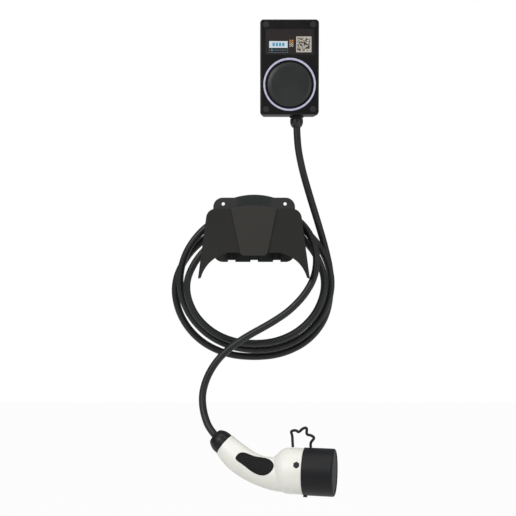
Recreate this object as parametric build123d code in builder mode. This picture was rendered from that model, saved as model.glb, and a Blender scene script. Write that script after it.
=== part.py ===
from build123d import *
from math import cos, pi, radians, sin, sqrt, tan
import os

os.makedirs("parts", exist_ok=True)

# Frame: the wall is the XZ plane, +Z is up, and the front faces -Y.
# The origin is the middle of the box's four wall-screw holes, on the wall.
# A depth is a distance from the wall towards the front.

# Box
box_w = 95.0
box_h = 153.0
base_d = 40.0
gasket_t = 1.0
lid_d = 14.0
box_wall = 2.5
corner_r = 5.5
base_draft = 4.0
lid_edge_r = 2.2
wall_hole_dx = 74.0
wall_hole_dz = 100.0
wall_hole_r = 2.75
wall_boss_r = 6.0
wall_boss_h = 3.0
lid_screw_x = 38.0
lid_screw_z = 67.9
lid_boss_r = 4.6
lid_screw_r = 1.5
lid_screw_head_r = 2.9
lid_screw_head_h = 2.0
screw_engage = 14.0
cap_r = 5.0
cap_h = 2.4
cap_proud = 0.4
press_gap = 0.1

# Front details
label_w = 78.0
label_h = 41.0
label_z = 40.5
label_t = 0.4
light_z = -28.0
light_r = 42.3
light_w = 2.7
light_proud = 2.0
light_flange_r = 44.2
light_flange_t = 2.0
disc_r = 35.8
disc_face_r = 28.8
disc_proud = 1.2
surround_drop = 1.2
surround_t = 2.0

# Inside the box
board_w = 60.0
board_h = 116.0
board_t = 1.6
board_z = 4.0
standoff_h = 9.0
standoff_r = 3.4
board_hole_dx = 50.0
board_hole_dz = 84.0
board_screw_r = 1.4
board_screw_head_r = 2.7
board_screw_head_h = 1.6
relay_w = 16.0
relay_h = 29.0
relay_t = 24.0
relay_x = (-21.0, -4.0)
relay_z = 22.0
supply_w = 34.0
supply_h = 22.0
supply_t = 18.0
supply_x = 3.0
supply_z = 49.0
sensor_r = 12.0
sensor_bore_r = 6.5
sensor_t = 14.0
sensor_x = 17.5
sensor_z = 12.0
terminal_w = 40.0
terminal_h = 14.0
terminal_t = 20.0
terminal_x = -2.0
terminal_z = -42.0
terminal_ways = 5
radio_w = 24.0
radio_h = 18.0
radio_t = 3.2
radio_x = -16.0
radio_z = -5.0
led_ring_in_r = 37.0
led_count = 12
led_size = 3.0
led_t = 1.2
antenna_r = 30.0
antenna_in_r = 22.0
antenna_t = 1.2
grommet_x = -15.0
grommet_z = -59.5
grommet_hole_r = 9.0
grommet_bore_r = 6.0
grommet_lip = 2.0
grommet_lip_t = 1.4

# Cable gland under the box
cable_r = 5.5
gland_x = 12.6
gland_depth = 27.0
gland_flange_r = 11.2
gland_flange_t = 2.6
gland_neck_r = 7.6
gland_neck_l = 9.0
gland_thread_r = 9.6
gland_nut_r = 10.65
gland_nut_l = 14.0
gland_pad_r = 12.5
locknut_r = 12.0
locknut_t = 3.5

# Cable holder
holder_x = -57.5
plate_t = 5.0
plate_half_w = 68.75
plate_top = -209.0
plate_peak = -204.0
plate_bottom = -317.2
plate_corner_r = 16.0
hump_half_w = 33.4
holder_hole_dx = 104.0
holder_hole_dz = 82.0
holder_hole_z = -219.5
holder_hole_r = 2.75
front_depth = 98.0
front_t = 4.0
front_top = -229.5
front_peak = -224.3
front_half_top = 73.5
front_tip_z = -340.0
front_tip_half = 88.5
front_corner_r = 15.0
arch_top = -299.0
arch_half = 38.0
rim_t = 2.4
rim_d = 9.0
panel_rise = 1.5
panel_top_half = 36.4
panel_bottom_half = 20.8
panel_bottom = -303.5
panel_corner_r = 7.0
saddle_r = 60.0
saddle_t = 4.0
saddle_top = -237.0
web_x = 31.5
web_t = 3.0
web_d = 12.0
rib_x = 44.0
rib_t = 2.4
rib_d = 4.0
notch_x = 38.0
notch_w = 12.5
notch_h = 3.2
pocket_w = 15.5
pocket_h = 9.0
pocket_d = 2.6

# Looped cable: the turns hang over the saddle, and each has its own size
coil_x = -57.5
coil_z = -351.5
coil_back = 24.0
coil_front = 68.0
turn_radii = (
    (129.0, 130.4, 121.2, 130.3, 129.7, 106.6, 120.0, 119.6),
    (125.5, 118.1, 107.8, 112.1, 119.5, 121.2, 120.0, 105.3),
    (113.4, 104.2, 95.5, 102.6, 108.2, 92.3, 120.0, 121.0),
)
soft_gap = 0.3

# Routes of the two free stretches of cable: x, depth, z
lead_route = [
    (12.6, 27.0, -68.0),
    (12.6, 27.0, -113.0),
    (20.4, 27.0, -158.0),
    (33.2, 27.3, -203.0),
    (47.6, 28.0, -249.0),
    (61.0, 29.0, -295.0),
    (70.3, 30.0, -338.0),
]
tail_route = [
    (-30.0, 62.5, -232.5),
    (-5.0, 63.5, -237.0),
    (15.5, 65.0, -248.0),
    (31.0, 69.0, -266.5),
    (41.0, 74.0, -290.0),
    (43.5, 77.5, -315.5),
    (38.5, 80.0, -341.0),
    (25.5, 81.5, -364.0),
    (9.0, 82.0, -383.0),
    (-9.0, 82.5, -398.5),
    (-37.0, 83.0, -416.0),
    (-66.0, 83.5, -431.5),
    (-94.0, 84.0, -449.5),
    (-116.5, 85.5, -471.0),
    (-132.5, 88.0, -497.0),
    (-140.5, 93.0, -525.0),
    (-137.5, 103.0, -553.0),
]

# Vehicle plug: its middle plane turns and leans with the hanging cable
plug_x = 19.1
plug_depth = 164.6
plug_z = -628.5
nose_yaw = 12.0
nose_pitch = 0.6
plug_lean = 14.6
shell_wall = 3.0
head_bore_d = 24.0
channel_r = 11.0
handle_sections = (
    (-125.5, 34.1, -37.5, 37.3, 37.3),
    (-107.0, 17.6, -36.0, 42.6, 40.5),
    (-82.0, 3.0, -22.0, 43.6, 41.5),
    (-60.0, -4.0, -8.0, 46.8, 45.5),
    (-40.0, -5.5, -4.0, 52.0, 52.0),
    (-15.0, -5.0, 0.0, 57.0, 60.0),
)
head_r = 34.5
head_straight = 18.0
head_bell = ((32.0, -32.5), (25.0, -41.0), (19.0, -54.0))
handle_x, handle_y, handle_turn = handle_sections[0][:3]
plug_nut_l = 21.0
plug_nut_r = 17.6
plug_nut_end_r = 9.5
nut_mouth = 0.8
sleeve_wall = 3.0
sleeve_l = 12.0
grip_recess = 1.2
grip_proud = 0.5
nose_l = 38.0
nose_gap = 0.5
nose_flat = 25.0
collar_l = 15.0
contact_ring_r = 17.0
pilot_ring_r = 12.75
contact_r = 4.0
contact_bore_r = 3.0
pilot_r = 2.6
pilot_bore_r = 1.6
contact_l = 32.0
contact_lip = 6.0
screw_x = -7.1
screw_y = 8.9
hex_r = 4.7
hex_d = 1.7
plug_screw_r = 1.6
plug_screw_head_r = 3.2
plug_screw_head_h = 1.2
dust_cap_r = 35.4
dust_cap_l = 47.0
dust_cap_end = 2.8
dust_cap_gap = 0.3
dust_cap_dish = 0.8
tab_w = 9.0
tether_r = 1.8
tether_route = [
    (-18.7, 35.0),
    (-19.6, 44.0),
    (-20.2, 53.0),
    (-23.2, 59.0),
    (-14.5, 61.0),
    (-10.5, 57.0),
    (-4.5, 64.0),
    (2.6, 65.5),
    (1.2, 54.5),
    (9.0, 54.0),
    (15.0, 50.0),
    (7.2, 42.5),
    (9.2, 35.4),
]


def wall(depth):
    """The plane parallel to the wall at a depth, with x to the right and y up."""
    return Plane.XZ.offset(depth)


def in_front(x, depth, z):
    return Vector(x, -depth, z)


lid_back = base_d + gasket_t
box_d = lid_back + lid_d
board_back = box_wall + standoff_h
board_front = board_back + board_t
draft_gap = 2 * base_d * tan(radians(base_draft))
base_w = box_w - draft_gap
base_h = box_h - draft_gap
screw_spots = GridLocations(2 * lid_screw_x, 2 * lid_screw_z, 2, 2)
board_spots = GridLocations(board_hole_dx, board_hole_dz, 2, 2)

# Box base: a drafted tray with its bosses
with BuildPart() as enclosure_base:
    with BuildSketch(wall(0)):
        RectangleRounded(base_w, base_h, corner_r - 1)
    with BuildSketch(wall(base_d)):
        RectangleRounded(box_w, box_h, corner_r)
    loft()
    with BuildSketch(wall(box_wall)):
        RectangleRounded(base_w - 2 * box_wall, base_h - 2 * box_wall, corner_r - box_wall)
    with BuildSketch(wall(base_d)):
        RectangleRounded(box_w - 2 * box_wall, box_h - 2 * box_wall, corner_r - box_wall)
    loft(mode=Mode.SUBTRACT)
    with BuildSketch(wall(box_wall)):
        with screw_spots:
            Circle(lid_boss_r)
    extrude(amount=base_d - box_wall)
    with BuildSketch(wall(box_wall)):
        with GridLocations(wall_hole_dx, wall_hole_dz, 2, 2):
            Circle(wall_boss_r)
    extrude(amount=wall_boss_h)
    with BuildSketch(wall(box_wall)):
        with Locations((0, board_z)):
            with board_spots:
                Circle(standoff_r)
    extrude(amount=standoff_h)
    with BuildSketch(Plane.XY.offset(-box_h / 2)):
        with Locations((gland_x, -gland_depth)):
            Circle(gland_pad_r)
    extrude(amount=2 * box_wall)
    with BuildSketch(wall(0)):
        with GridLocations(wall_hole_dx, wall_hole_dz, 2, 2):
            Circle(wall_hole_r)
        with Locations((grommet_x, grommet_z)):
            Circle(grommet_hole_r)
    extrude(amount=box_wall + wall_boss_h, mode=Mode.SUBTRACT)
    with BuildSketch(wall(base_d)):
        with screw_spots:
            Circle(lid_screw_r)
    extrude(amount=-screw_engage, mode=Mode.SUBTRACT)
    with BuildSketch(wall(board_back)):
        with Locations((0, board_z)):
            with board_spots:
                Circle(board_screw_r)
    extrude(amount=-standoff_h + 2, mode=Mode.SUBTRACT)
    with BuildSketch(Plane.XY.offset(-box_h / 2)):
        with Locations((gland_x, -gland_depth)):
            Circle(gland_thread_r + press_gap)
    extrude(amount=2 * box_wall, mode=Mode.SUBTRACT)
enclosure_base.part.label = "enclosure_base"

# Gasket between base and lid
with BuildPart() as lid_gasket:
    with BuildSketch(wall(base_d)):
        RectangleRounded(box_w - 0.6, box_h - 0.6, corner_r - 0.3)
        RectangleRounded(
            box_w - 2 * box_wall,
            box_h - 2 * box_wall,
            corner_r - box_wall,
            mode=Mode.SUBTRACT,
        )
    extrude(amount=gasket_t)
lid_gasket.part.label = "lid_gasket"

# Lid: a shallow shell with the screw wells, label recess and round opening
opening_r = light_r + press_gap
well_floor = box_d - cap_h - lid_screw_head_h
with BuildPart() as enclosure_lid:
    with BuildSketch(wall(lid_back)):
        RectangleRounded(box_w, box_h, corner_r)
    extrude(amount=lid_d)
    fillet(enclosure_lid.faces().sort_by(Axis.Y)[0].edges(), lid_edge_r)
    with BuildSketch(wall(lid_back)):
        RectangleRounded(box_w - 2 * box_wall, box_h - 2 * box_wall, corner_r - box_wall)
    extrude(amount=lid_d - box_wall, mode=Mode.SUBTRACT)
    with BuildSketch(wall(lid_back)):
        with screw_spots:
            Circle(cap_r + 1.6)
        Rectangle(box_w - box_wall, box_h - box_wall, mode=Mode.INTERSECT)
    extrude(amount=lid_d - box_wall)
    with BuildSketch(wall(box_d)):
        with screw_spots:
            Circle(cap_r + press_gap)
    extrude(amount=-(box_d - well_floor), mode=Mode.SUBTRACT)
    with BuildSketch(wall(lid_back)):
        with screw_spots:
            Circle(lid_screw_r + 0.3)
    extrude(amount=lid_d, mode=Mode.SUBTRACT)
    with BuildSketch(wall(box_d)):
        with Locations((0, label_z)):
            RectangleRounded(label_w, label_h, 2)
    extrude(amount=-label_t, mode=Mode.SUBTRACT)
    with BuildSketch(wall(lid_back)):
        with Locations((0, light_z)):
            Circle(opening_r)
    extrude(amount=lid_d, mode=Mode.SUBTRACT)
enclosure_lid.part.label = "enclosure_lid"

with BuildPart() as front_label:
    with BuildSketch(wall(box_d - label_t)):
        with Locations((0, label_z)):
            RectangleRounded(label_w - 0.3, label_h - 0.3, 1.9)
    extrude(amount=label_t)
front_label.part.label = "front_label"

# Screws that hold the lid, and the covers over them
with BuildPart() as lid_screws:
    with BuildSketch(wall(well_floor)):
        with screw_spots:
            Circle(lid_screw_head_r)
    extrude(amount=lid_screw_head_h)
    with BuildSketch(wall(well_floor)):
        with screw_spots:
            Circle(lid_screw_r - press_gap)
    extrude(amount=-(well_floor - base_d + screw_engage - 2))
    with BuildSketch(wall(well_floor + lid_screw_head_h)):
        with screw_spots:
            RegularPolygon(1.5, 6)
    extrude(amount=-1.2, mode=Mode.SUBTRACT)
lid_screws.part.label = "lid_screws"

with BuildPart() as screw_caps:
    with BuildSketch(wall(box_d - cap_h)):
        with screw_spots:
            Circle(cap_r)
    extrude(amount=cap_h + cap_proud)
    fillet(screw_caps.faces().filter_by(Plane.XZ).group_by(Axis.Y)[0].edges(), 0.6)
screw_caps.part.label = "screw_caps"

# Round front: light ring, glossy surround and the disc in the middle
lid_inside = box_d - box_wall
light_in_r = light_r - light_w
surround_front = box_d - surround_drop
surround_back = surround_front - surround_t
with BuildPart() as light_guide_ring:
    with BuildSketch(wall(lid_inside)):
        with Locations((0, light_z)):
            Circle(light_r)
            Circle(light_in_r, mode=Mode.SUBTRACT)
    extrude(amount=box_wall + light_proud)
    fillet(light_guide_ring.faces().sort_by(Axis.Y)[0].edges(), 0.7)
    with BuildSketch(wall(lid_inside)):
        with Locations((0, light_z)):
            Circle(light_flange_r)
            Circle(light_in_r, mode=Mode.SUBTRACT)
    extrude(amount=-light_flange_t)
light_guide_ring.part.label = "light_guide_ring"

with BuildPart() as reader_surround:
    with BuildSketch(wall(surround_front)):
        with Locations((0, light_z)):
            Circle(light_in_r - press_gap)
    extrude(amount=-surround_t)
    with BuildSketch(wall(surround_back)):
        with Locations((0, light_z)):
            Circle(light_in_r - press_gap)
            Circle(light_in_r - 2.2, mode=Mode.SUBTRACT)
    extrude(amount=-(surround_back - lid_inside + light_flange_t))
reader_surround.part.label = "reader_surround"

disc_bevel = disc_r - disc_face_r
with BuildPart() as reader_disc:
    with BuildSketch(Plane.XY):
        with BuildLine():
            Polyline((0, surround_front), (disc_r, surround_front), (disc_r, surround_front + 0.5))
            ThreePointArc(
                (disc_r, surround_front + 0.5),
                (disc_r - 0.3 * disc_bevel, box_d + 0.2),
                (disc_face_r, box_d + disc_proud),
            )
            Polyline((disc_face_r, box_d + disc_proud), (0, box_d + disc_proud), (0, surround_front))
        make_face()
    revolve(axis=Axis.Y)
reader_disc.part = Location(
    Plane(origin=(0, 0, light_z), x_dir=(1, 0, 0), z_dir=(0, 0, 1))
) * Rot(180, 0, 0) * reader_disc.part
reader_disc.part.label = "reader_disc"

# Lamps behind the light ring, and the reader's loop board behind the disc
led_back = lid_inside - light_flange_t - led_t - board_t
with BuildPart() as led_board:
    with BuildSketch(wall(led_back)):
        with Locations((0, light_z)):
            Circle(light_flange_r)
            Circle(led_ring_in_r, mode=Mode.SUBTRACT)
    extrude(amount=board_t)
    with BuildSketch(wall(led_back + board_t)):
        with Locations((0, light_z)):
            with PolarLocations(light_r - light_w / 2, led_count):
                Rectangle(led_size, led_size)
    extrude(amount=led_t)
led_board.part.label = "led_board"

with BuildPart() as reader_antenna:
    with BuildSketch(wall(surround_back)):
        with Locations((0, light_z)):
            Circle(antenna_r)
            Circle(antenna_in_r, mode=Mode.SUBTRACT)
    extrude(amount=-antenna_t)
reader_antenna.part.label = "reader_antenna"

# Electronics
with BuildPart() as main_board:
    with BuildSketch(wall(board_back)):
        with Locations((0, board_z)):
            RectangleRounded(board_w, board_h, 2)
            with board_spots:
                Circle(board_screw_r + 0.2, mode=Mode.SUBTRACT)
    extrude(amount=board_t)
main_board.part.label = "main_board"

with BuildPart() as board_screws:
    with BuildSketch(wall(board_front)):
        with Locations((0, board_z)):
            with board_spots:
                Circle(board_screw_head_r)
    extrude(amount=board_screw_head_h)
    with BuildSketch(wall(board_front)):
        with Locations((0, board_z)):
            with board_spots:
                Circle(board_screw_r - press_gap)
    extrude(amount=-(board_t + standoff_h - 3))
board_screws.part.label = "board_screws"

with BuildPart() as power_relays:
    with BuildSketch(wall(board_front)):
        with Locations((relay_x[0], relay_z), (relay_x[1], relay_z)):
            RectangleRounded(relay_w, relay_h, 1)
    extrude(amount=relay_t)
power_relays.part.label = "power_relays"

with BuildPart() as power_supply_module:
    with BuildSketch(wall(board_front)):
        with Locations((supply_x, supply_z)):
            RectangleRounded(supply_w, supply_h, 1)
    extrude(amount=supply_t)
power_supply_module.part.label = "power_supply_module"

with BuildPart() as residual_current_sensor:
    with BuildSketch(wall(board_front)):
        with Locations((sensor_x, sensor_z)):
            Circle(sensor_r)
            Circle(sensor_bore_r, mode=Mode.SUBTRACT)
    extrude(amount=sensor_t)
residual_current_sensor.part.label = "residual_current_sensor"

way_pitch = terminal_w / terminal_ways
with BuildPart() as terminal_block:
    with BuildSketch(wall(board_front)):
        with Locations((terminal_x, terminal_z)):
            Rectangle(terminal_w, terminal_h)
    extrude(amount=terminal_t)
    with BuildSketch(wall(board_front + terminal_t)):
        with Locations((terminal_x, terminal_z)):
            with GridLocations(way_pitch, 1, terminal_ways, 1):
                Circle(way_pitch * 0.3)
    extrude(amount=-5, mode=Mode.SUBTRACT)
    with BuildSketch(Plane.XY.offset(terminal_z - terminal_h / 2)):
        with Locations((terminal_x, -(board_front + terminal_t * 0.4))):
            with GridLocations(way_pitch, 1, terminal_ways, 1):
                Rectangle(way_pitch * 0.6, way_pitch * 0.6)
    extrude(amount=8, mode=Mode.SUBTRACT)
terminal_block.part.label = "terminal_block"

with BuildPart() as radio_module:
    with BuildSketch(wall(board_front)):
        with Locations((radio_x, radio_z)):
            RectangleRounded(radio_w, radio_h, 1)
    extrude(amount=radio_t)
radio_module.part.label = "radio_module"

# Rubber entry for the supply cable, through the rear wall
with BuildPart() as supply_grommet:
    with BuildSketch(wall(0)):
        with Locations((grommet_x, grommet_z)):
            Circle(grommet_hole_r - press_gap)
    extrude(amount=box_wall + grommet_lip_t)
    with BuildSketch(wall(box_wall)):
        with Locations((grommet_x, grommet_z)):
            Circle(grommet_hole_r + grommet_lip)
    extrude(amount=grommet_lip_t)
    with BuildSketch(wall(0)):
        with Locations((grommet_x, grommet_z)):
            Circle(grommet_bore_r)
    extrude(amount=box_wall + grommet_lip_t, mode=Mode.SUBTRACT)
supply_grommet.part.label = "supply_grommet"

# Cable gland: threaded body, inside locknut, rubber seal and domed nut
box_bottom = -box_h / 2
neck_end = box_bottom - gland_flange_t - gland_neck_l
thread_top = box_bottom + 2 * box_wall + locknut_t + 1
nut_top = box_bottom - gland_flange_t - 1.2
nut_bottom = nut_top - gland_nut_l
with BuildPart() as gland_body:
    with BuildSketch(Plane.XY.offset(box_bottom)):
        with Locations((gland_x, -gland_depth)):
            RegularPolygon(gland_flange_r, 6)
    extrude(amount=-gland_flange_t)
    with BuildSketch(Plane.XY.offset(box_bottom)):
        with Locations((gland_x, -gland_depth)):
            Circle(gland_thread_r)
    extrude(amount=thread_top - box_bottom)
    with BuildSketch(Plane.XY.offset(box_bottom)):
        with Locations((gland_x, -gland_depth)):
            Circle(gland_neck_r)
    extrude(amount=-(box_bottom - neck_end))
    with BuildSketch(Plane.XY.offset(neck_end)):
        with Locations((gland_x, -gland_depth)):
            Circle(cable_r + press_gap)
    extrude(amount=thread_top - neck_end, mode=Mode.SUBTRACT)
gland_body.part.label = "gland_body"

with BuildPart() as gland_locknut:
    with BuildSketch(Plane.XY.offset(box_bottom + 2 * box_wall)):
        with Locations((gland_x, -gland_depth)):
            RegularPolygon(locknut_r, 6)
            Circle(gland_thread_r + press_gap, mode=Mode.SUBTRACT)
    extrude(amount=locknut_t)
gland_locknut.part.label = "gland_locknut"

nut_grip = 2.5
with BuildPart() as gland_nut:
    with BuildSketch(Plane.XZ):
        with BuildLine():
            Polyline(
                (gland_neck_r + press_gap, nut_top),
                (gland_nut_r - 0.8, nut_top),
                (gland_nut_r, nut_top - 0.8),
                (gland_nut_r, nut_top - gland_nut_l * 0.4),
            )
            ThreePointArc(
                (gland_nut_r, nut_top - gland_nut_l * 0.4),
                (gland_nut_r - 1.3, nut_top - gland_nut_l * 0.75),
                (cable_r + 1.5, nut_bottom),
            )
            Polyline(
                (cable_r + 1.5, nut_bottom),
                (cable_r + press_gap, nut_bottom),
                (cable_r + press_gap, nut_bottom + nut_grip),
                (gland_neck_r + press_gap, nut_bottom + nut_grip),
                (gland_neck_r + press_gap, nut_top),
            )
        make_face()
    revolve(axis=Axis.Z)
    flats = PolarLocations(gland_nut_r + 0.35, 10)
    with BuildSketch(Plane.XY.offset(nut_top)):
        with flats:
            Circle(0.8)
    extrude(amount=-gland_nut_l * 0.4, mode=Mode.SUBTRACT)
gland_nut.part = Location((gland_x, -gland_depth, 0)) * gland_nut.part
gland_nut.part.label = "gland_nut"

seal_top = neck_end
with BuildPart() as gland_seal:
    with BuildSketch(Plane.XY.offset(nut_bottom + nut_grip)):
        with Locations((gland_x, -gland_depth)):
            Circle(gland_neck_r)
            Circle(cable_r + 0.05, mode=Mode.SUBTRACT)
    extrude(amount=seal_top - nut_bottom - nut_grip)
gland_seal.part.label = "gland_seal"

# Cable holder: back plate, saddle, front plate, rims and ribs in one moulding
saddle_z = saddle_top - saddle_r
front_back = front_depth - front_t
holder_spots_z = holder_hole_z - holder_hole_dz / 2


def side_half(z):
    """Half the front plate's width at a height: its sides lean outwards."""
    share = (front_top - z) / (front_top - front_tip_z)
    return front_half_top + share * (front_tip_half - front_half_top)


def front_outline(inset):
    """The front plate's outline on the current sketch, moved inwards by inset."""
    top = front_top - inset
    tip = front_tip_z + inset
    arch = arch_top + inset
    wing_z = (arch + tip) / 2 + 7
    with BuildLine(mode=Mode.PRIVATE) as outline:
        right = Polyline(
            (hump_half_w, top),
            (side_half(top) - inset, top),
            (side_half(tip) - inset, tip),
            (side_half(tip) - inset - 4, tip + 1),
        )
        ThreePointArc(right @ 1, (side_half(wing_z) - 17 + inset, wing_z), (arch_half, arch))
        Line((arch_half, arch), (0, arch))
        mirror(about=Plane.YZ)
        ThreePointArc((hump_half_w, top), (0, front_peak - inset), (-hump_half_w, top))
    return outline.line


with BuildPart() as cable_holder:
    with BuildSketch(wall(0)):
        with Locations((0, (plate_top + plate_bottom) / 2)):
            RectangleRounded(2 * plate_half_w, plate_top - plate_bottom, plate_corner_r)
        with BuildLine():
            ThreePointArc((-hump_half_w, plate_top), (0, plate_peak), (hump_half_w, plate_top))
            Line((hump_half_w, plate_top), (-hump_half_w, plate_top))
        make_face()
        with Locations((0, plate_bottom)):
            with GridLocations(notch_x, 1, 3, 1):
                Rectangle(notch_w, 2 * notch_h, mode=Mode.SUBTRACT)
        with Locations((0, holder_spots_z)):
            with GridLocations(holder_hole_dx, holder_hole_dz, 2, 2):
                Circle(holder_hole_r, mode=Mode.SUBTRACT)
    extrude(amount=plate_t)
    with BuildSketch(wall(plate_t)):
        with Locations((0, plate_bottom + notch_h + pocket_h / 2)):
            Rectangle(pocket_w, pocket_h)
    extrude(amount=-pocket_d, mode=Mode.SUBTRACT)
    with BuildSketch(wall(plate_t)):
        with Locations((0, saddle_z)):
            Circle(saddle_r)
            Circle(saddle_r - saddle_t, mode=Mode.SUBTRACT)
        with Locations((0, saddle_z + saddle_r)):
            Rectangle(2 * saddle_r, 2 * saddle_r, mode=Mode.INTERSECT)
    extrude(amount=front_back - plate_t)
    with BuildSketch(wall(plate_t)):
        for x in (-web_x, web_x):
            with BuildLine():
                Polyline(
                    (x - web_t / 2, plate_bottom + notch_h + 1),
                    (x + web_t / 2, plate_bottom + notch_h + 1),
                    (x + web_t / 2, saddle_z + saddle_r * 0.82),
                    (x - web_t / 2, saddle_z + saddle_r * 0.82),
                    close=True,
                )
            make_face()
    extrude(amount=web_d)
    with BuildSketch(wall(plate_t)):
        for x in (-rib_x, rib_x):
            with Locations((x, (saddle_z + plate_bottom) / 2 + 12)):
                Rectangle(rib_t, saddle_z - plate_bottom + 16)
    extrude(amount=rib_d)
    with BuildSketch(wall(front_back)):
        add(front_outline(0))
        make_face()
        corners = [
            v for v in vertices() if abs(v.Y - front_top) < 0.01 and abs(v.X) > hump_half_w + 1
        ]
        fillet(corners, front_corner_r)
    extrude(amount=front_t)
    with BuildSketch(wall(front_back)):
        add(front_outline(0))
        make_face()
        corners = [
            v for v in vertices() if abs(v.Y - front_top) < 0.01 and abs(v.X) > hump_half_w + 1
        ]
        fillet(corners, front_corner_r)
        offset(amount=-rim_t, mode=Mode.SUBTRACT)
    extrude(amount=-rim_d)
    with BuildSketch(wall(front_back)):
        with BuildLine():
            Polyline(
                (panel_top_half, front_top),
                (panel_bottom_half, panel_bottom),
                (-panel_bottom_half, panel_bottom),
                (-panel_top_half, front_top),
            )
            ThreePointArc((-panel_top_half, front_top), (0, front_peak), (panel_top_half, front_top))
        make_face()
        lows = [v for v in vertices() if abs(v.Y - panel_bottom) < 0.01]
        fillet(lows, panel_corner_r)
    extrude(amount=front_t + panel_rise)
cable_holder.part = Location((holder_x, 0, 0)) * cable_holder.part
cable_holder.part.label = "cable_holder"


def gentle_path(points):
    """Corner radii for a route of straight runs, each as large as its two runs allow."""
    radii = []
    for before, corner, after in zip(points, points[1:], points[2:]):
        come = corner - before
        leave = after - corner
        half_turn = radians(come.get_angle(leave)) / 2
        radii.append(0.45 * min(come.length, leave.length) / tan(half_turn))
    return radii


def plug_point(x, y):
    return plug_side.from_local_coords(Vector(x, y, 0))


nose_dir = Vector(
    cos(radians(nose_yaw)) * cos(radians(nose_pitch)),
    -sin(radians(nose_yaw)) * cos(radians(nose_pitch)),
    sin(radians(nose_pitch)),
)
level_side = Vector(-sin(radians(nose_yaw)), -cos(radians(nose_yaw)), 0)
level_up = level_side.cross(nose_dir)
side_dir = level_side * cos(radians(plug_lean)) + level_up * sin(radians(plug_lean))
plug_side = Plane(origin=in_front(plug_x, plug_depth, plug_z), x_dir=nose_dir, z_dir=side_dir)
handle_back = Vector(-cos(radians(handle_turn)), -sin(radians(handle_turn)))
cable_in = plug_point(handle_x, handle_y)
cable_bend = plug_point(
    handle_x + 1.45 * plug_nut_l * handle_back.X, handle_y + 1.45 * plug_nut_l * handle_back.Y
)

# The two free stretches of the cable
lead_points = [in_front(*p) for p in lead_route]
lead_radii = gentle_path(lead_points)
with BuildPart() as cable_lead:
    with BuildLine() as lead_line:
        FilletPolyline(*lead_points, radius=lead_radii)
    with BuildSketch(lead_line.line ^ 0):
        Circle(cable_r)
    sweep()
cable_lead.part.label = "cable_lead"

tail_points = [in_front(*p) for p in tail_route] + [cable_bend, cable_in]
tail_radii = gentle_path(tail_points)
with BuildPart() as cable_tail:
    with BuildLine() as tail_line:
        FilletPolyline(*tail_points, radius=tail_radii)
    with BuildSketch(tail_line.line ^ 0):
        Circle(cable_r)
    sweep()
cable_tail.part.label = "cable_tail"
for name, piece, line, radii in (
    ("lead", cable_lead, lead_line, lead_radii),
    ("tail", cable_tail, tail_line, tail_radii),
):
    route_length = sum(edge.length for edge in line.edges())
    share = piece.part.volume / (pi * cable_r**2 * route_length)
    print(name, "length", round(route_length, 1), "volume share", round(share, 4))
    print(name, "radii", [round(r) for r in radii])

# Looped cable: one solid of the turns' outer shape, cut clear of the saddle
saddle_lift = saddle_z - coil_z


def over_saddle(angle):
    """Least distance from the coil's middle that clears the saddle, at an angle."""
    reach = saddle_r + cable_r + soft_gap
    up = -sin(angle)
    if up < 0.6:
        return 0.0
    return saddle_lift * up + sqrt(reach**2 - (saddle_lift * cos(angle)) ** 2)


def coil_point(radius, angle):
    return (coil_x + radius * cos(angle), coil_z - radius * sin(angle))


steps = 16
outer = []
inner = []
for k in range(steps):
    angle = 2 * pi * k / steps
    low = k * 8 // steps
    share = k * 8 / steps - low
    sizes = [t[low] * (1 - share) + t[(low + 1) % 8] * share for t in turn_radii]
    sizes = [max(s, over_saddle(angle)) for s in sizes]
    outer.append(coil_point(max(sizes) + cable_r, angle))
    inner.append(coil_point(min(sizes) - cable_r, angle))
with BuildPart() as cable_coil:
    with BuildSketch(wall(coil_back)):
        with BuildLine():
            Spline(*outer, periodic=True)
        make_face()
        with BuildLine():
            Spline(*inner, periodic=True)
        make_face(mode=Mode.SUBTRACT)
        with Locations((holder_x, saddle_z)):
            Circle(saddle_r + soft_gap, mode=Mode.SUBTRACT)
    extrude(amount=coil_front - coil_back)
    add(cable_lead.part, mode=Mode.SUBTRACT)
    add(cable_tail.part, mode=Mode.SUBTRACT)
cable_coil.part.label = "cable_coil"


def handle_faces(grow):
    """The handle's cross-sections from its rear into the head, grown all round."""
    faces = []
    for x, y, turn, high, wide in handle_sections:
        along = nose_dir * cos(radians(turn)) + plug_side.y_dir * sin(radians(turn))
        up = side_dir.cross(along)
        with BuildSketch(Plane(origin=plug_point(x, y), x_dir=up, z_dir=along)) as section:
            Ellipse(high / 2 + grow, wide / 2 + grow)
        faces.append(section.sketch.face())
    return faces


def nose_plane(x):
    """The plane across the nose at a distance along it, with x sideways and y up."""
    return Plane(origin=plug_point(x, 0), x_dir=-side_dir, z_dir=nose_dir)


# Head of the plug: a bell turned about the nose, which the handle runs into
bell_end = head_bell[-1][1]
with BuildPart() as plug_head:
    with BuildSketch(Plane.XZ):
        with BuildLine():
            Polyline((0, bell_end), (0, 0), (head_r, 0), (head_r, -head_straight))
            Spline((head_r, -head_straight), *head_bell, tangents=((0, -1), (0, -1)))
            Line(head_bell[-1], (0, bell_end))
        make_face()
    revolve(axis=Axis.Z)
plug_head.part = nose_plane(0).location * plug_head.part

with BuildPart() as handle_skin:
    loft(handle_faces(0))
    add(plug_head.part)
with BuildPart() as handle_bed:
    loft(handle_faces(-grip_recess))
with BuildPart() as handle_raised:
    loft(handle_faces(grip_proud))

# Soft inlays on both sides of the handle
with BuildPart() as grip_zone:
    with BuildSketch(plug_side.offset(-40)):
        with BuildLine():
            Spline(
                (-102.4, 17.5),
                (-95.5, 23.7),
                (-76.6, 19.6),
                (-52.0, 15.2),
                (-43.3, 7.0),
                (-49.0, -4.5),
                (-61.0, -8.6),
                (-79.2, -2.3),
                (-95.0, 8.0),
                periodic=True,
            )
        make_face()
    extrude(amount=80)

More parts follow.
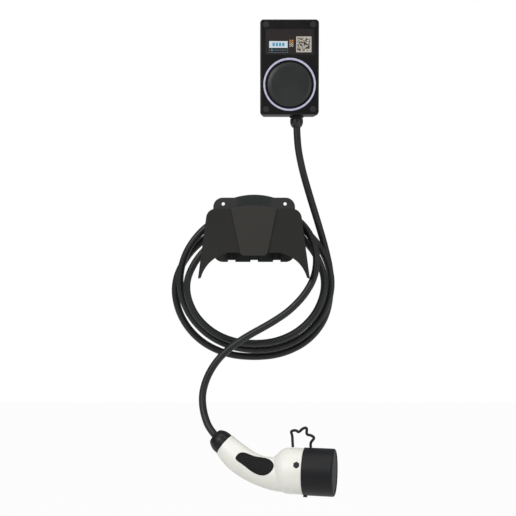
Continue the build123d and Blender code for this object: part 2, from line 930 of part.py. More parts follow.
with BuildPart() as grips:
    add(handle_raised.part)
    add(grip_zone.part, mode=Mode.INTERSECT)
    add(handle_bed.part, mode=Mode.SUBTRACT)

with BuildPart() as plug_grip_right:
    add(grips.part)
    split(bisect_by=plug_side, keep=Keep.TOP)
plug_grip_right.part.label = "plug_grip_right"

with BuildPart() as plug_grip_left:
    add(grips.part)
    split(bisect_by=plug_side, keep=Keep.BOTTOM)
plug_grip_left.part.label = "plug_grip_left"

# Half shells of the plug, split on its middle plane
head_in_r = head_r - shell_wall
hex_floor = sqrt(head_r**2 - screw_y**2) - hex_d
channel_points = [plug_point(s[0], s[1]) for s in handle_sections[:5]]
channel_points.append(plug_point(1 - head_bore_d, handle_sections[4][1]))
with BuildPart() as plug_shells:
    add(handle_skin.part)
    with BuildSketch(nose_plane(0)):
        Circle(head_in_r)
    extrude(amount=-head_bore_d, mode=Mode.SUBTRACT)
    with BuildLine() as channel_line:
        FilletPolyline(*channel_points, radius=gentle_path(channel_points))
    with BuildSketch(channel_line.line ^ 0):
        Circle(channel_r)
    sweep(mode=Mode.SUBTRACT)
    add(grips.part, mode=Mode.SUBTRACT)
    with BuildSketch(plug_side.offset(hex_floor)):
        with Locations((screw_x, screw_y)):
            RegularPolygon(hex_r, 6)
    extrude(amount=2 * hex_d, mode=Mode.SUBTRACT)
    with BuildSketch(plug_side.offset(hex_floor)):
        with Locations((screw_x, screw_y)):
            Circle(plug_screw_r + press_gap)
    extrude(amount=-2 * shell_wall, mode=Mode.SUBTRACT)

with BuildPart() as plug_shell_right:
    add(plug_shells.part)
    split(bisect_by=plug_side, keep=Keep.TOP)
plug_shell_right.part.label = "plug_shell_right"

with BuildPart() as plug_shell_left:
    add(plug_shells.part)
    split(bisect_by=plug_side, keep=Keep.BOTTOM)
plug_shell_left.part.label = "plug_shell_left"

# Nose with the contact holes, its collar held in the shells' front
nose_r = head_in_r - nose_gap
contact_spots = [
    (contact_ring_r * cos(radians(a)), contact_ring_r * sin(radians(a))) for a in (0, 180, 240, 300)
]
pilot_spots = [
    (pilot_ring_r * cos(radians(a)), pilot_ring_r * sin(radians(a))) for a in (58, 122)
]
with BuildPart() as plug_contact_carrier:
    with BuildSketch(nose_plane(-collar_l)):
        Circle(head_in_r - nose_gap)
    extrude(amount=collar_l - 1)
    with BuildSketch(nose_plane(-1)):
        Circle(nose_r)
        with Locations((0, nose_flat - nose_r - 5)):
            Rectangle(2 * nose_r, 2 * nose_r + 10, mode=Mode.INTERSECT)
    extrude(amount=nose_l + 1)
    chamfer(plug_contact_carrier.faces().sort_by(Axis(plug_point(0, 0), nose_dir))[-1].edges(), 1)
    with BuildSketch(nose_plane(nose_l)):
        with Locations(*contact_spots, (0, 0)):
            Circle(contact_bore_r + 0.5)
        with Locations(*pilot_spots):
            Circle(pilot_bore_r + 0.5)
    extrude(amount=-contact_lip, mode=Mode.SUBTRACT)
    with BuildSketch(nose_plane(-collar_l)):
        with Locations(*contact_spots, (0, 0)):
            Circle(contact_r + press_gap)
        with Locations(*pilot_spots):
            Circle(pilot_r + press_gap)
    extrude(amount=collar_l + nose_l - contact_lip, mode=Mode.SUBTRACT)
    with BuildSketch(plug_side.offset(hex_floor)):
        with Locations((screw_x, screw_y)):
            Circle(plug_screw_r + press_gap)
    extrude(amount=-9, mode=Mode.SUBTRACT)
plug_contact_carrier.part.label = "plug_contact_carrier"

with BuildPart() as plug_contacts:
    with BuildSketch(nose_plane(nose_l - contact_lip)):
        with Locations(*contact_spots, (0, 0)):
            Circle(contact_r)
            Circle(contact_bore_r, mode=Mode.SUBTRACT)
        with Locations(*pilot_spots):
            Circle(pilot_r)
            Circle(pilot_bore_r, mode=Mode.SUBTRACT)
    extrude(amount=-contact_l)
plug_contacts.part.label = "plug_contacts"

with BuildPart() as plug_screws:
    with BuildSketch(plug_side.offset(hex_floor)):
        with Locations((screw_x, screw_y)):
            Circle(plug_screw_head_r)
    extrude(amount=plug_screw_head_h)
    with BuildSketch(plug_side.offset(hex_floor)):
        with Locations((screw_x, screw_y)):
            Circle(plug_screw_r)
    extrude(amount=-8)
plug_screws.part.label = "plug_screws"

# Rear nut of the plug and the rubber sleeve that grips the cable in it
nut_dir = -(nose_dir * cos(radians(handle_turn)) + plug_side.y_dir * sin(radians(handle_turn)))
nut_base = Plane(origin=cable_in, x_dir=side_dir, z_dir=nut_dir)
with BuildPart() as plug_gland_nut:
    with BuildSketch(Plane.XZ):
        with BuildLine():
            Polyline((cable_r + sleeve_wall, 0), (plug_nut_r, 0), (plug_nut_r, plug_nut_l * 0.35))
            ThreePointArc(
                (plug_nut_r, plug_nut_l * 0.35),
                (plug_nut_r - 2.2, plug_nut_l * 0.75),
                (plug_nut_end_r + 2.5, plug_nut_l),
            )
            Polyline(
                (plug_nut_end_r + 2.5, plug_nut_l),
                (cable_r + nut_mouth, plug_nut_l),
                (cable_r + nut_mouth, sleeve_l),
                (cable_r + sleeve_wall, sleeve_l),
                (cable_r + sleeve_wall, 0),
            )
        make_face()
    revolve(axis=Axis.Z)
    with BuildSketch(Plane.XY):
        with PolarLocations(plug_nut_r + 0.7, 12):
            Circle(1.3)
    extrude(amount=plug_nut_l * 0.6, mode=Mode.SUBTRACT)
plug_gland_nut.part = nut_base.location * plug_gland_nut.part
plug_gland_nut.part.label = "plug_gland_nut"

with BuildPart() as plug_cable_sleeve:
    with BuildSketch(nut_base):
        Circle(cable_r + sleeve_wall)
        Circle(cable_r + 0.05, mode=Mode.SUBTRACT)
    extrude(amount=sleeve_l)
plug_cable_sleeve.part.label = "plug_cable_sleeve"

# Dust cap: a rubber cup on the nose, with a finger tab below its rim
with BuildPart() as dust_cap:
    with BuildSketch(nose_plane(dust_cap_gap)):
        Circle(dust_cap_r)
    extrude(amount=dust_cap_l - dust_cap_gap)
    fillet(dust_cap.faces().sort_by(Axis(plug_point(0, 0), nose_dir))[-1].edges(), 3)
    with BuildSketch(nose_plane(dust_cap_gap)):
        with Locations((0, -dust_cap_r)):
            RectangleRounded(tab_w, 5, 1)
    extrude(amount=5)
    with BuildSketch(nose_plane(dust_cap_gap)):
        Circle(nose_r + dust_cap_gap)
    extrude(amount=dust_cap_l - dust_cap_end - dust_cap_gap, mode=Mode.SUBTRACT)
    with BuildSketch(nose_plane(dust_cap_l)):
        Circle(dust_cap_r - 6)
    extrude(amount=-dust_cap_dish, mode=Mode.SUBTRACT)
dust_cap.part.label = "dust_cap"

# Zigzag strap that keeps the cap on the plug
strap_points = [plug_point(*p) for p in tether_route]
strap_radii = gentle_path(strap_points)
print("strap radii", [round(r, 1) for r in strap_radii])
with BuildPart() as cap_tether:
    with BuildLine() as strap_line:
        FilletPolyline(*strap_points, radius=strap_radii)
    with BuildSketch(strap_line.line ^ 0):
        Circle(tether_r)
    sweep()
    add(handle_skin.part, mode=Mode.SUBTRACT)
    add(dust_cap.part, mode=Mode.SUBTRACT)
cap_tether.part.label = "cap_tether"

pieces = (
    enclosure_base,
    enclosure_lid,
    lid_gasket,
    lid_screws,
    screw_caps,
    front_label,
    light_guide_ring,
    reader_surround,
    reader_disc,
    led_board,
    reader_antenna,
    main_board,
    board_screws,
    power_relays,
    power_supply_module,
    residual_current_sensor,
    terminal_block,
    radio_module,
    supply_grommet,
    gland_body,
    gland_locknut,
    gland_nut,
    gland_seal,
    cable_holder,
    cable_lead,
    cable_coil,
    cable_tail,
    plug_gland_nut,
    plug_cable_sleeve,
    plug_shell_left,
    plug_shell_right,
    plug_grip_left,
    plug_grip_right,
    plug_contact_carrier,
    plug_contacts,
    plug_screws,
    dust_cap,
    cap_tether,
)
for piece in pieces:
    export_step(piece.part, f"parts/{piece.part.label}.step")
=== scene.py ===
from math import cos, pi, radians, sin, sqrt

import bmesh
import bpy
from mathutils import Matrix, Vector


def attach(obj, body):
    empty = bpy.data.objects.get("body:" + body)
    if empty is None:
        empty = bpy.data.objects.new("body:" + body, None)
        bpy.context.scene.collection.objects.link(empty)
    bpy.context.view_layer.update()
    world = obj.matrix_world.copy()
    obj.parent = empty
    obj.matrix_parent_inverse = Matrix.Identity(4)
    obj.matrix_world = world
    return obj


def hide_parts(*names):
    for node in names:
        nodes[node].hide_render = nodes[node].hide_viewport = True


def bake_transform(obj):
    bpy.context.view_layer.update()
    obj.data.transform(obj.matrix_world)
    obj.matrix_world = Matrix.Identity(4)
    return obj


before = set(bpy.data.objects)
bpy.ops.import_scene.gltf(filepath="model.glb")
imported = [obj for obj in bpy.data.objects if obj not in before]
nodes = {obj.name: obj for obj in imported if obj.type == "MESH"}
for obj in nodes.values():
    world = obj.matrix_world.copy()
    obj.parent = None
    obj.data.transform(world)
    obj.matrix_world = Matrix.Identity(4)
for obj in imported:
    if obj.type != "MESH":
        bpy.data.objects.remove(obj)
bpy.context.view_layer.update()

MM = 0.001
WHITE = (1.0, 1.0, 1.0, 1.0)


# Places

PLUG = (19.1, 164.6, -628.5)
YAW, PITCH, LEAN = radians(12.0), radians(0.6), radians(14.6)
NOSE = Vector((cos(YAW) * cos(PITCH), -sin(YAW) * cos(PITCH), sin(PITCH)))
LEVEL_SIDE = Vector((-sin(YAW), -cos(YAW), 0.0))
SIDE = LEVEL_SIDE * cos(LEAN) + LEVEL_SIDE.cross(NOSE) * sin(LEAN)
UP = SIDE.cross(NOSE)


def in_front(x, depth, z):
    """A point in metres, from millimetres: right, away from the wall, up."""
    return Vector((x, -depth, z)) * MM


def plug_point(along, up, side=0.0):
    return in_front(*PLUG) + (NOSE * along + UP * up + SIDE * side) * MM


# Finishes


class Signal:
    """An output in a material, on which sums are written as plain expressions."""

    def __init__(self, finish, socket):
        self.finish, self.socket = finish, socket

    def maths(self, operation, other=None, swap=False):
        values = [other, self] if swap else [self, other]
        inputs = {k: v for k, v in enumerate(values) if v is not None}
        return self.finish.node("ShaderNodeMath", {"operation": operation}, inputs)

    def __add__(self, other):
        return self.maths("ADD", other)

    def __radd__(self, other):
        return self.maths("ADD", other, swap=True)

    def __sub__(self, other):
        return self.maths("SUBTRACT", other)

    def __rsub__(self, other):
        return self.maths("SUBTRACT", other, swap=True)

    def __mul__(self, other):
        return self.maths("MULTIPLY", other)

    def __rmul__(self, other):
        return self.maths("MULTIPLY", other, swap=True)

    def __lt__(self, other):
        return self.maths("LESS_THAN", other)

    def __gt__(self, other):
        return self.maths("GREATER_THAN", other)

    def __abs__(self):
        return self.maths("ABSOLUTE")

    def __pow__(self, other):
        return self.maths("POWER", other)

    def __mod__(self, other):
        return self.maths("FLOORED_MODULO", other)

    def least(self, other):
        return self.maths("MINIMUM", other)

    def most(self, other):
        return self.maths("MAXIMUM", other)

    def root(self):
        return self.maths("SQRT")

    def wave(self):
        return self.maths("SINE")

    def fade(self, low, high):
        """0 at low and 1 at high, smoothly."""
        inputs = {"Value": self, "From Min": low, "From Max": high}
        settings = {"interpolation_type": "SMOOTHSTEP"}
        return self.finish.node("ShaderNodeMapRange", settings, inputs)


def shade(red, green, blue):
    """A colour as a screen shows it, 0 to 255, made linear."""
    linear = [
        v / 255 / 12.92 if v <= 10 else ((v / 255 + 0.055) / 1.055) ** 2.4
        for v in (red, green, blue)
    ]
    return (*linear, 1.0)


class Finish:
    """A material, or the world around it, and the pattern that it is made of."""

    def __init__(self, name, owner=None, ending="ShaderNodeOutputMaterial"):
        self.material = owner or bpy.data.materials.new(name)
        self.material.use_nodes = True
        self.tree = self.material.node_tree
        self.tree.nodes.clear()
        self.ending = ending
        self.spot = self.node("ShaderNodeTexCoord", out="Object")

    def node(self, kind, settings=None, inputs=None, out=0):
        made = self.tree.nodes.new(kind)
        for name, value in (settings or {}).items():
            setattr(made, name, value)
        for name, value in (inputs or {}).items():
            if isinstance(value, Signal):
                self.tree.links.new(value.socket, made.inputs[name])
            else:
                made.inputs[name].default_value = value
        return Signal(self, made.outputs[out]) if made.outputs else None

    def place(self):
        """Where a point of the piece is, as three signals, in millimetres."""
        parts = self.node("ShaderNodeSeparateXYZ", inputs={0: self.spot}).socket.node
        return [Signal(self, parts.outputs[axis]) * (1 / MM) for axis in "XYZ"]

    def noise(self, scale, detail=3.0, rough=0.5):
        inputs = {"Vector": self.spot, "Scale": scale, "Detail": detail, "Roughness": rough}
        return self.node("ShaderNodeTexNoise", inputs=inputs, out="Fac")

    def mix(self, share, first, second):
        inputs = {0: share, 6: first, 7: second}
        return self.node("ShaderNodeMix", {"data_type": "RGBA"}, inputs, out=2)

    def bump(self, height, strength, distance=0.0004, edge=0.0):
        """A bumpy normal, on edges that catch the light as if rounded by edge."""
        inputs = {"Height": height, "Strength": strength, "Distance": distance}
        if edge:
            inputs["Normal"] = self.node("ShaderNodeBevel", {"samples": 6}, {"Radius": edge * MM})
        return self.node("ShaderNodeBump", inputs=inputs)

    def surface(self, **sockets):
        inputs = {name.replace("_", " "): value for name, value in sockets.items()}
        return self.ended(self.node("ShaderNodeBsdfPrincipled", inputs=inputs))

    def ended(self, body):
        """The material, with this shader as its surface."""
        self.node(self.ending, inputs={"Surface": body})
        return self.material


TONE_DRIFT = 0.12
SHINE_DRIFT = 0.05


def moulded(name, colour, rough, grain=900.0, depth=0.12, gleam=0.3, edge=0.0):
    """A moulded plastic or rubber: fine grain, and a slow drift of tone and of shine."""
    finish = Finish(name)
    cloud = finish.noise(22.0, 2.0)
    fine = finish.noise(grain, 2.0, 0.6)
    lighter = tuple(c * (1 + TONE_DRIFT) + 0.002 for c in colour[:3]) + (1.0,)
    darker = tuple(c * (1 - TONE_DRIFT) for c in colour[:3]) + (1.0,)
    tone = finish.mix(cloud.fade(0.35, 0.65), darker, lighter)
    shine = (cloud + fine) * SHINE_DRIFT + (rough - SHINE_DRIFT)
    return finish.surface(
        Base_Color=tone,
        Roughness=shine,
        Specular_IOR_Level=gleam,
        Normal=finish.bump(fine, depth, edge=edge),
    )


def metal(name, colour, rough):
    """Bare or plated metal, drawn along with fine lines."""
    finish = Finish(name)
    fine = finish.noise(1400.0, 3.0, 0.7)
    cloud = finish.noise(60.0, 2.0)
    tone = finish.mix(cloud, colour, tuple(c * 0.8 for c in colour[:3]) + (1.0,))
    return finish.surface(
        Base_Color=tone,
        Metallic=1.0,
        Roughness=rough + fine * 0.15,
        Normal=finish.bump(fine, 0.15, 0.0001),
    )


def within(x, low, high, soft=0.12):
    """1 where x lies between two values."""
    return x.fade(low - soft, low + soft) * (1 - x.fade(high - soft, high + soft))


SQUARES_PER_MM = 0.62


def label_finish():
    """The film on the lid: dark, with plain printed fields."""
    finish = Finish("label_film_print")
    x, _, z = finish.place()

    def field(left, low, right, high):
        return within(x, left, right) * within(z, low, high)

    tone = finish.mix(finish.noise(35.0), shade(26, 22, 21), shade(34, 29, 27))
    tone = finish.mix(field(-33.0, 30.6, -3.2, 41.4), tone, shade(196, 206, 212))
    for k in range(4):
        left = -27.6 + 5.2 * k
        tone = finish.mix(field(left, 33.2, left + 3.6, 38.8), tone, shade(70, 140, 172))
    tone = finish.mix(field(-33.2, 22.8, -2.9, 30.4), tone, shade(92, 104, 112))
    tone = finish.mix(field(-32.6, 23.4, -3.5, 30.4), tone, shade(22, 27, 32))
    dot = ((x + 28.6) ** 2.0 + (z - 26.9) ** 2.0).root()
    tone = finish.mix(1 - dot.fade(1.5, 1.9), tone, shade(70, 118, 140))
    for k in range(5):
        left = -24.4 + 4.0 * k
        tone = finish.mix(field(left, 26.4, left + 2.9, 27.5), tone, shade(96, 106, 112))
    slant = (x * 0.85 + z + 400.0) % 3.4
    flash = field(-0.6, 32.4, 6.2, 43.4) * within(slant, 0.6, 2.3)
    warm = finish.mix(z.fade(37.5, 38.5), shade(188, 184, 172), shade(206, 140, 84))
    tone = finish.mix(flash, tone, warm)
    tone = finish.mix(field(10.6, 23.6, 35.2, 48.8), tone, shade(182, 176, 164))
    column = ((x + 100.0) * SQUARES_PER_MM).maths("FLOOR")
    row = ((z + 100.0) * SQUARES_PER_MM).maths("FLOOR")
    cell = finish.node("ShaderNodeCombineXYZ", inputs={0: column, 1: row, 2: 3.0})
    chance = finish.node("ShaderNodeTexWhiteNoise", {"noise_dimensions": "3D"}, {"Vector": cell}, "Value")
    blocks = (chance > 0.5) * field(12.4, 25.4, 33.4, 47.0)
    tone = finish.mix(blocks, tone, shade(52, 48, 46))
    fine = finish.noise(1600.0, 2.0)
    return finish.surface(
        Base_Color=tone,
        Roughness=0.42 + fine * 0.1,
        Specular_IOR_Level=0.25,
        Normal=finish.bump(fine, 0.05, 0.0001),
    )


RING_Z = -28.0
LAMPS = 24.0


def glow_finish():
    """Milky light guide, lit evenly from behind by its row of lamps."""
    finish = Finish("light_guide_milky")
    x, _, z = finish.place()
    turn = (z - RING_Z).maths("ARCTAN2", x)
    lamps = (turn * LAMPS).wave() * 0.5 + 0.5
    glow = finish.mix(lamps, shade(196, 194, 220), shade(206, 204, 228))
    return finish.surface(
        Base_Color=finish.mix(lamps, shade(70, 70, 84), shade(78, 78, 92)),
        Roughness=0.35 + lamps * 0.05,
        Specular_IOR_Level=0.3,
        Emission_Color=glow,
        Emission_Strength=0.72,
    )


def board_finish():
    """Green board with paler tracks."""
    finish = Finish("board_green_mask")
    x, _, z = finish.place()
    tracks = within((x + z * 0.5 + 400.0) % 3.2, 0.9, 1.7)
    patches = finish.noise(120.0, 1.0).fade(0.5, 0.53)
    tone = finish.mix(tracks * patches, shade(22, 74, 46), shade(44, 112, 70))
    return finish.surface(Base_Color=tone, Roughness=0.35 + patches * 0.1, Coat_Weight=0.4)


def grip_finish():
    """Soft black inlay with rows of small raised dots."""
    finish = Finish("grip_rubber_dotted")
    inputs = {"Vector": finish.spot, "Scale": 560.0, "Randomness": 0.15}
    cells = finish.node("ShaderNodeTexVoronoi", {"feature": "F1"}, inputs, "Distance")
    dots = 1 - cells.fade(0.2, 0.5)
    tone = finish.mix(dots, shade(8, 8, 9), shade(26, 27, 28))
    return finish.surface(
        Base_Color=tone,
        Roughness=0.75 - dots * 0.2,
        Specular_IOR_Level=0.3,
        Normal=finish.bump(dots, 0.7, 0.0006),
    )


def holder_finish():
    """Fine spark-eroded charcoal, with a smoother middle on the rear plate, and painted light that makes
    the rear plate a lighter, speckled grey.
    """
    finish = Finish("holder_plastic_eroded")
    x, y, z = finish.place()
    fine = finish.noise(1100.0, 3.0, 0.65)
    cloud = finish.noise(16.0, 2.0)
    middle = within(x, -86.0, -29.0, 1.5) * within(y, -7.0, 0.5, 0.5)
    panel = 1 - y.fade(-98.7, -98.2)
    # Painted light: the rear plate is given a lighter, speckled grey, as where the lamps fall on it.
    painted_light_rear_plate = y.fade(-9.0, -7.0)
    speck = finish.noise(420.0, 2.0, 0.7)
    tone = finish.mix(cloud, shade(30, 30, 28), shade(38, 37, 35))
    tone = finish.mix(panel, tone, shade(48, 47, 44))
    tone = finish.mix(painted_light_rear_plate, tone, finish.mix(speck, shade(46, 48, 47), shade(60, 61, 59)))
    tone = finish.mix(middle, tone, shade(42, 47, 45))
    return finish.surface(
        Base_Color=tone,
        Roughness=0.66 + fine * 0.12 - middle * 0.28,
        Specular_IOR_Level=0.3,
        Normal=finish.bump(fine, 0.35, 0.0004, edge=1.6),
    )


def beside_plug(finish):
    """How far a point is along the nose, up and to the viewer's side of the plug's middle."""
    x, y, z = finish.place()
    away = (x - PLUG[0], y + PLUG[1], z - PLUG[2])
    return [away[0] * d.x + away[1] * d.y + away[2] * d.z for d in (NOSE, UP, SIDE)]


SCREW = (-7.1, 8.9)
HOLLOW_FLAT = 4.4


def shell_finish():
    """Warm white moulding, with painted shade darkening the screw's hex recess."""
    finish = Finish("plug_white_warm")
    along, up, side = beside_plug(finish)
    a = along - SCREW[0]
    b = up - SCREW[1]
    flats = [abs(a * cos(k * pi / 3) + b * sin(k * pi / 3)) for k in range(3)]
    # Painted shade: the screw's hex recess on the viewer's side is painted near black.
    painted_shade_recess = (flats[0].most(flats[1]).most(flats[2]) < HOLLOW_FLAT) * (side > 0.0)
    fine = finish.noise(800.0, 2.0, 0.6)
    cloud = finish.noise(22.0, 2.0)
    tone = finish.mix(cloud.fade(0.35, 0.65), shade(232, 231, 222), shade(238, 237, 230))
    tone = finish.mix(painted_shade_recess, tone, shade(12, 12, 13))
    return finish.surface(
        Base_Color=tone,
        Roughness=0.36 + fine * 0.06 + painted_shade_recess * 0.2,
        Normal=finish.bump(fine, 0.06, edge=0.6),
    )


def cap_finish():
    """Blue-black rubber cap, its end disc a little paler and finely ringed."""
    finish = Finish("cap_rubber_black")
    along = beside_plug(finish)[0]
    end = along.fade(45.6, 46.2)
    fine = finish.noise(1300.0, 2.0)
    cloud = finish.noise(30.0, 2.0)
    tone = finish.mix(cloud, shade(8, 9, 12), shade(15, 16, 20))
    tone = finish.mix(end, tone, shade(34, 36, 38))
    return finish.surface(
        Base_Color=tone,
        Roughness=0.46 + fine * 0.15 + end * 0.15,
        Specular_IOR_Level=0.3,
        Normal=finish.bump(fine, 0.12, 0.0003, edge=2.0),
    )


def jacket_finish():
    """Black cable jacket with a faint grey-green bloom and a soft shine."""
    finish = Finish("cable_jacket_black")
    cloud = finish.noise(28.0, 3.0)
    fine = finish.noise(1500.0, 2.0)
    tone = finish.mix(cloud.fade(0.3, 0.7), shade(12, 14, 14), shade(24, 27, 26))
    return finish.surface(
        Base_Color=tone,
        Roughness=0.36 + cloud * 0.12 + fine * 0.06,
        Specular_IOR_Level=0.4,
        Normal=finish.bump(fine, 0.08, 0.0002),
    )


# Cords


def cord_curve(name, points, radius=0.0):
    """One smooth spline whose control points are the route's points."""
    curve = bpy.data.curves.new(name, "CURVE")
    curve.dimensions = "3D"
    curve.resolution_u = 8
    curve.bevel_depth = radius
    curve.bevel_resolution = 5
    curve.use_fill_caps = radius > 0
    spline = curve.splines.new("NURBS")
    spline.points.add(len(points) - 1)
    for spot, point in zip(spline.points, points):
        spot.co = (*point, 1.0)
    spline.order_u = 3
    spline.use_endpoint_u = True
    piece = bpy.data.objects.new(name, curve)
    bpy.context.scene.collection.objects.link(piece)
    return piece


def as_mesh(piece):
    """The mesh that a curve shows."""
    shown = piece.evaluated_get(bpy.context.evaluated_depsgraph_get())
    return bpy.data.meshes.new_from_object(shown)


def followed(name, points):
    """The points of the spline that a route gives, and their length."""
    line = cord_curve(name, points)
    path = [v.co.copy() for v in as_mesh(line).vertices]
    bpy.data.objects.remove(line)
    return path, sum((b - a).length for a, b in zip(path, path[1:]))


CABLE_R = 5.8
GLAND_MOUTH_Z = -94.0
LEAD_ROUTE = (
    (12.6, 27.0, -68.0),
    (12.6, 27.0, -113.0),
    (20.4, 27.0, -158.0),
    (33.2, 27.3, -203.0),
    (47.6, 28.0, -249.0),
    (61.0, 29.0, -295.0),
    (70.3, 30.0, -338.0),
)
COIL = (-57.5, -351.5)
SADDLE_R, SADDLE_Z = 60.0, -297.0
TURN_RADII = (
    130.5, 130.4, 120.9, 130.3, 131.0, 107.6, 120.0, 120.6,
    127.5, 118.6, 107.8, 112.6, 121.5, 121.2, 120.0, 108.0,
    115.4, 104.7, 95.5, 103.0, 110.2, 94.3, 120.0,
)
TURN_DEPTHS = (
    30.0, 30.0, 31.0, 32.0, 33.0, 35.0, 37.0, 39.0,
    40.0, 42.0, 44.0, 46.0, 47.0, 49.0, 50.0, 53.0,
    55.0, 57.0, 58.0, 59.0, 60.0, 61.0, 62.0,
)
POINTS_PER_TURN = 16
TAIL_ROUTE = (
    (-30.0, 62.5, -232.5),
    (-5.0, 63.5, -237.0),
    (15.5, 65.0, -248.0),
    (31.0, 69.0, -266.5),
    (41.0, 74.0, -290.0),
    (43.5, 77.5, -315.5),
    (38.5, 80.0, -341.0),
    (25.5, 81.5, -364.0),
    (9.0, 82.0, -383.0),
    (-9.0, 82.5, -398.5),
    (-37.0, 83.0, -416.0),
    (-66.0, 83.5, -431.5),
    (-94.0, 84.0, -449.5),
    (-116.5, 85.5, -471.0),
    (-132.5, 88.0, -497.0),
    (-140.5, 93.0, -525.0),
    (-137.5, 103.0, -553.0),
)
HANDLE_END = (-125.5, 34.1)
HANDLE_TURN = radians(-37.5)
NUT_L = 21.0


def between(table, place):
    """A table's value between its rows, on a smooth curve through them."""
    low = min(int(place), len(table) - 2)
    share = place - low
    before, here = table[max(low - 1, 0)], table[low]
    there, after = table[low + 1], table[min(low + 2, len(table) - 1)]
    start, end = (there - before) / 2, (after - here) / 2
    change = there - here
    return (
        here
        + start * share
        + (3 * change - 2 * start - end) * share**2
        + (start + end - 2 * change) * share**3
    )


def over_saddle(angle):
    """Least distance from the loops' middle that clears the saddle."""
    lift = SADDLE_Z - COIL[1]
    reach = SADDLE_R + CABLE_R + 0.6
    if -sin(angle) < 0.6:
        return 0.0
    return -lift * sin(angle) + sqrt(reach**2 - (lift * cos(angle)) ** 2)


def loop_points():
    """The hanging turns, wound from the right down and round to the top."""
    points = []
    steps = POINTS_PER_TURN * (len(TURN_RADII) - 1) // 8
    swell = 1 / cos(pi / POINTS_PER_TURN)
    for k in range(1, steps):
        place = k * 8 / POINTS_PER_TURN
        angle = 2 * pi * k / POINTS_PER_TURN
        radius = max(between(TURN_RADII, place), over_saddle(angle)) * swell
        depth = between(TURN_DEPTHS, place)
        across, up = radius * cos(angle), -radius * sin(angle)
        points.append(in_front(COIL[0] + across, depth, COIL[1] + up))
    return points


BEND_BEFORE = 1.45 * NUT_L
cable_bend = plug_point(
    HANDLE_END[0] - BEND_BEFORE * cos(HANDLE_TURN),
    HANDLE_END[1] - BEND_BEFORE * sin(HANDLE_TURN),
)
cable_end = plug_point(*HANDLE_END)
route = [in_front(*p) for p in LEAD_ROUTE] + loop_points() + [in_front(*p) for p in TAIL_ROUTE]
route += [cable_bend, cable_end]
cable = cord_curve("charging_cable", route, CABLE_R * MM)
cable.data.materials.append(jacket_finish())
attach(cable, "root")
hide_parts("cable_lead", "cable_coil", "cable_tail")

TETHER_R = 2.1
TETHER_ROUTE = (
    (-18.7, 35.0),
    (-19.6, 44.0),
    (-20.2, 53.0),
    (-23.2, 59.0),
    (-14.5, 61.0),
    (-10.5, 57.0),
    (-4.5, 64.0),
    (2.6, 65.5),
    (1.2, 54.5),
    (9.0, 54.0),
    (15.0, 50.0),
    (7.2, 42.5),
    (9.2, 35.4),
)
tether_points = [plug_point(*p) for p in TETHER_ROUTE]
tether_path, tether_length = followed("tether_line", tether_points)
tether_tube = cord_curve("tether_tube", tether_points, TETHER_R * MM)
tether = bpy.data.objects.new("cap_strap", as_mesh(tether_tube))
bpy.context.scene.collection.objects.link(tether)
bpy.data.objects.remove(tether_tube)
tether.data.materials.clear()
tether.data.materials.append(moulded("strap_rubber_black", shade(12, 12, 13), 0.5))
plug_point(-14, 45)
plug_point(6, 45)
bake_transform(tether)
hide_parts("cap_tether")

# Finishes of the CAD pieces

box_black = moulded(
    "box_black_satin", shade(9, 9, 10), 0.36, grain=700.0, depth=0.1, gleam=0.22, edge=1.0
)
rubber = moulded("seal_rubber_black", shade(12, 12, 12), 0.7)
steel = metal("screw_steel", (0.55, 0.55, 0.54, 1.0), 0.28)
dark_steel = metal("screw_steel_dark", (0.06, 0.06, 0.065, 1.0), 0.35)
gland_black = moulded(
    "gland_plastic_black", shade(15, 16, 17), 0.36, depth=0.15, gleam=0.45, edge=0.5
)
shell_white = shell_finish()
finishes = {
    "enclosure_base": box_black,
    "enclosure_lid": box_black,
    "lid_gasket": rubber,
    "lid_screws": steel,
    "screw_caps": moulded("cap_grey_satin", shade(30, 31, 31), 0.5, edge=0.4),
    "front_label": label_finish(),
    "light_guide_ring": glow_finish(),
    "reader_surround": moulded(
        "surround_gloss_black", shade(8, 9, 16), 0.25, depth=0.02, gleam=0.25
    ),
    "reader_disc": moulded(
        "disc_charcoal", shade(36, 38, 38), 0.4, grain=1000.0, depth=0.1, edge=1.5
    ),
    "led_board": board_finish(),
    "reader_antenna": board_finish(),
    "main_board": board_finish(),
    "board_screws": steel,
    "power_relays": moulded("relay_black", shade(30, 30, 34), 0.4),
    "power_supply_module": moulded("supply_potting", shade(34, 34, 36), 0.5),
    "residual_current_sensor": moulded("sensor_plastic", shade(48, 50, 54), 0.45),
    "terminal_block": moulded("terminal_grey", shade(120, 124, 126), 0.5),
    "radio_module": metal("shield_can_tin", (0.62, 0.62, 0.6, 1.0), 0.35),
    "supply_grommet": rubber,
    "gland_body": gland_black,
    "gland_locknut": gland_black,
    "gland_nut": gland_black,
    "gland_seal": rubber,
    "cable_holder": holder_finish(),
    "plug_gland_nut": moulded("plug_nut_black", shade(14, 14, 15), 0.42, depth=0.15, edge=0.5),
    "plug_cable_sleeve": rubber,
    "plug_shell_left": shell_white,
    "plug_shell_right": shell_white,
    "plug_grip_left": grip_finish(),
    "plug_grip_right": grip_finish(),
    "plug_contact_carrier": moulded("carrier_black", shade(30, 31, 33), 0.45),
    "plug_contacts": metal("contact_silver", (0.72, 0.7, 0.66, 1.0), 0.22),
    "plug_screws": dark_steel,
    "dust_cap": cap_finish(),
}
for name, material in finishes.items():
    slots = nodes[name].data.materials
    slots.clear()
    slots.append(material)

# The cable's length, and the points where the cable and the strap start

cable_length = followed("cable_line", route)[1]
in_front(*LEAD_ROUTE[0][:2], GLAND_MOUTH_Z)
plug_point(*TETHER_ROUTE[0])

# Stage, lights and camera


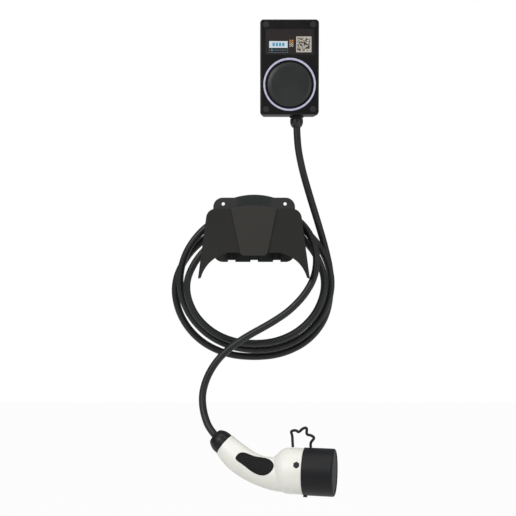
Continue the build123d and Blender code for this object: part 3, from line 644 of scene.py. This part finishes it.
def white_to_camera(name, colour):
    """A pale ground that the camera and reflections see as white, and that keeps the shadows."""
    finish = Finish(name)
    rough = 0.9 + finish.noise(3.0) * 0.05
    body = finish.node("ShaderNodeBsdfPrincipled", inputs={"Base Color": colour, "Roughness": rough})
    plain = finish.node("ShaderNodeEmission", inputs={"Color": WHITE, "Strength": 1.0})
    seen, shine, clear = (
        finish.node("ShaderNodeLightPath", out=f"Is {ray} Ray")
        for ray in ("Camera", "Glossy", "Transmission")
    )
    share = (seen + shine + clear).least(1.0) * 0.96
    return finish.ended(finish.node("ShaderNodeMixShader", inputs={0: share, 1: body, 2: plain}))


FLOOR_Z = -1.15
floor_mesh = bpy.data.meshes.new("floor")
shape = bmesh.new()
bmesh.ops.create_grid(shape, x_segments=8, y_segments=8, size=4.0)
bmesh.ops.translate(shape, verts=shape.verts, vec=(0, -1.0, FLOOR_Z))
shape.to_mesh(floor_mesh)
shape.free()
floor = bpy.data.objects.new("floor", floor_mesh)
bpy.context.scene.collection.objects.link(floor)
floor.data.materials.append(white_to_camera("floor_pale", (0.82, 0.82, 0.82, 1.0)))

world = bpy.data.worlds.new("studio")
bpy.context.scene.world = world
surround = Finish("studio", world, "ShaderNodeOutputWorld")
dim = surround.node("ShaderNodeBackground", inputs={"Color": WHITE, "Strength": 0.36})
full = surround.node("ShaderNodeBackground", inputs={"Color": WHITE, "Strength": 1.0})
by_camera = surround.node("ShaderNodeLightPath", out="Is Camera Ray")
surround.ended(surround.node("ShaderNodeMixShader", inputs={0: by_camera, 1: dim, 2: full}))


def lamp(name, place, target, size, power):
    data = bpy.data.lights.new(name, "AREA")
    data.shape = "RECTANGLE"
    data.size, data.size_y = size
    data.energy = power
    piece = bpy.data.objects.new(name, data)
    bpy.context.scene.collection.objects.link(piece)
    piece.location = place
    piece.rotation_euler = (Vector(target) - Vector(place)).to_track_quat("-Z", "Y").to_euler()


MIDDLE = (-0.03, -0.05, -0.33)
lamp("key", (-1.1, -1.5, 0.75), MIDDLE, (1.2, 1.2), 24.0)
lamp("fill", (1.3, -1.3, -0.1), MIDDLE, (0.9, 1.4), 7.0)
lamp("top", (0.0, -0.3, 1.2), MIDDLE, (1.4, 0.8), 10.0)

camera_data = bpy.data.cameras.new("camera")
camera_data.lens = 62.0
camera_data.sensor_width = 36.0
camera = bpy.data.objects.new("camera", camera_data)
bpy.context.scene.collection.objects.link(camera)
camera.location = (-0.05103, -1.5, -0.25828)
camera.rotation_euler = (radians(88.0), 0.0, 0.0)
bpy.context.scene.camera = camera
bpy.context.scene.view_settings.view_transform = "Standard"
